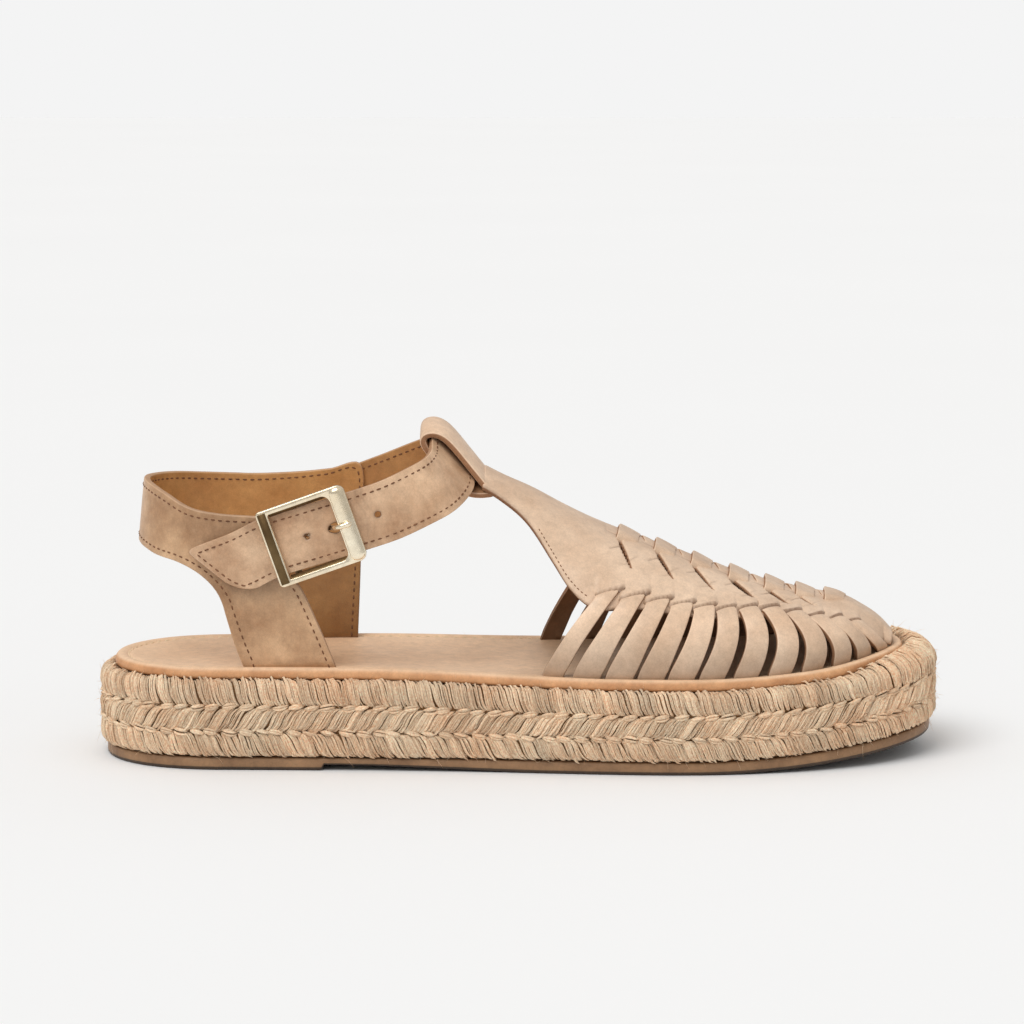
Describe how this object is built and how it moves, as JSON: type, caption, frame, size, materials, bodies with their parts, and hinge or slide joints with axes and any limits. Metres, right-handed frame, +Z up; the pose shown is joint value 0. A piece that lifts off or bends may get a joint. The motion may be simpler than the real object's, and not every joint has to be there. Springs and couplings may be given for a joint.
{
  "type": "espadrille sandal",
  "caption": "Open espadrille sandal for the right foot: woven leather T-bar vamp, heel quarter, buckled ankle strap and braided jute platform.",
  "frame": {"origin": "middle of the sole's plan, on the floor under the outsole", "axes": "+X to the toe, +Y to the inner (big toe) side, +Z up; the buckle is on the outer side, towards -Y"},
  "size_m": [0.2618, 0.0925, 0.1041],
  "materials": {
    "leather": "smooth vegetable-tanned, satin, with raw cut edges",
    "footbed_leather": "matt, with a light thread along the rim",
    "jute": "coarse braided natural jute",
    "outsole_rubber": "matt tan rubber",
    "brass": "polished pale gold"
  },
  "bodies": {
    "root": {"outsole": "outsole_rubber", "jute_midsole": "jute", "insole": "footbed_leather", "upper_vamp": "leather", "heel_quarter": "leather", "ankle_strap": "leather", "buckle_frame": "brass", "buckle_prong": "brass"}
  },
  "joints": []
}
